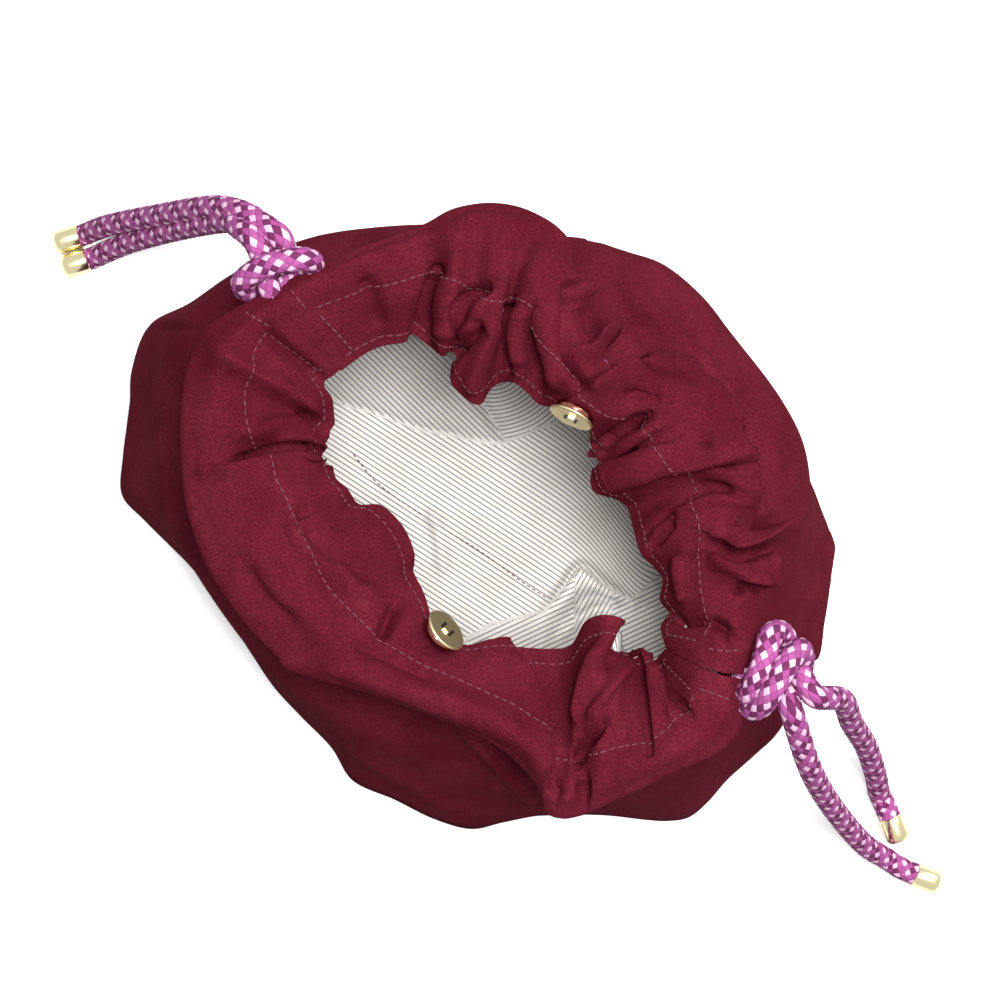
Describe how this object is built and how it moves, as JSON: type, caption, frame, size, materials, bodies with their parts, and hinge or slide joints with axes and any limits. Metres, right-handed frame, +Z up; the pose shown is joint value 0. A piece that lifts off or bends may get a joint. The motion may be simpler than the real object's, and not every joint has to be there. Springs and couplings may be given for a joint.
{
  "type": "kinchaku drawstring pouch",
  "caption": "Wine suede kinchaku drawstring pouch standing open, gathered mouth, striped cotton lining, braided cords with gold caps, magnetic snap.",
  "frame": {"origin": "on the flat underside, under the middle of the mouth", "axes": "+X from the left cord exit to the right one, +Y towards the back panel, +Z up"},
  "size_m": [0.4761, 0.2477, 0.1535],
  "materials": {
    "wine_suede": "napped suede",
    "striped_cotton": "woven, fine stripes",
    "braided_cord": "round braid",
    "gold_plated_zinc": "polished pale gold",
    "polished_magnet_dish": "polished, showing the suede's reddish reflection"
  },
  "bodies": {
    "root": {"back_panel": "wine_suede", "front_panel": "wine_suede", "back_lining": "striped_cotton", "front_lining": "striped_cotton", "back_drawcord": "braided_cord", "front_drawcord": "braided_cord", "left_knot": "braided_cord", "right_knot": "braided_cord", "left_tail_upper": "braided_cord", "left_tail_lower": "braided_cord", "right_tail_upper": "braided_cord", "right_tail_lower": "braided_cord", "left_cap_upper": "gold_plated_zinc", "left_cap_lower": "gold_plated_zinc", "right_cap_upper": "gold_plated_zinc", "right_cap_lower": "gold_plated_zinc", "back_snap_magnet": "polished_magnet_dish", "back_snap_plate": "gold_plated_zinc", "front_snap_magnet": "polished_magnet_dish", "front_snap_plate": "gold_plated_zinc"}
  },
  "joints": []
}
